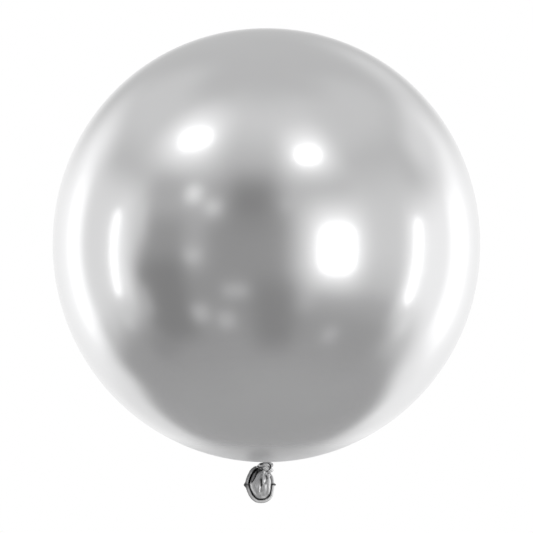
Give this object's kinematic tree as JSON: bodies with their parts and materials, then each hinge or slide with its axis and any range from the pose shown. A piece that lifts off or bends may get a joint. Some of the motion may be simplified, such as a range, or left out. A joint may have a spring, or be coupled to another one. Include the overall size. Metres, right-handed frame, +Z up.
{
  "type": "round latex balloon",
  "caption": "Large round foil-bright latex balloon, filled and tied off: thin envelope, pleated neck, overhand knot, and a flared tail that ends in a rolled lip.",
  "frame": {"origin": "middle of the envelope, on its axis from crown to knot at half the envelope's height", "axes": "+Z up from the knot to the crown; -Y towards the side that the tail's tongue faces; +X to the right of that view"},
  "size_m": [0.6, 0.6, 0.6664],
  "materials": {
    "envelope_skin": "stretched silver metallic latex, mirror-like with a soft blur",
    "gathered_latex": "slack silver metallic latex drawn into pleats, satin",
    "slack_latex": "slack silver metallic latex with fine creases, satin",
    "rolled_latex": "thick rolled silver latex, satin"
  },
  "bodies": {
    "balloon": {"envelope": "envelope_skin", "neck": "gathered_latex", "knot": "gathered_latex"},
    "tail": {"tail_skirt": "slack_latex", "tail_lip": "rolled_latex"}
  },
  "joints": [
    {"name": "tail_swing", "type": "hinge", "parent": "balloon", "child": "tail", "pos_m": [-0.00156, -0.00232, -0.32095], "axis": [1, 0, 0], "range_deg": [-50, 25]}
  ]
}
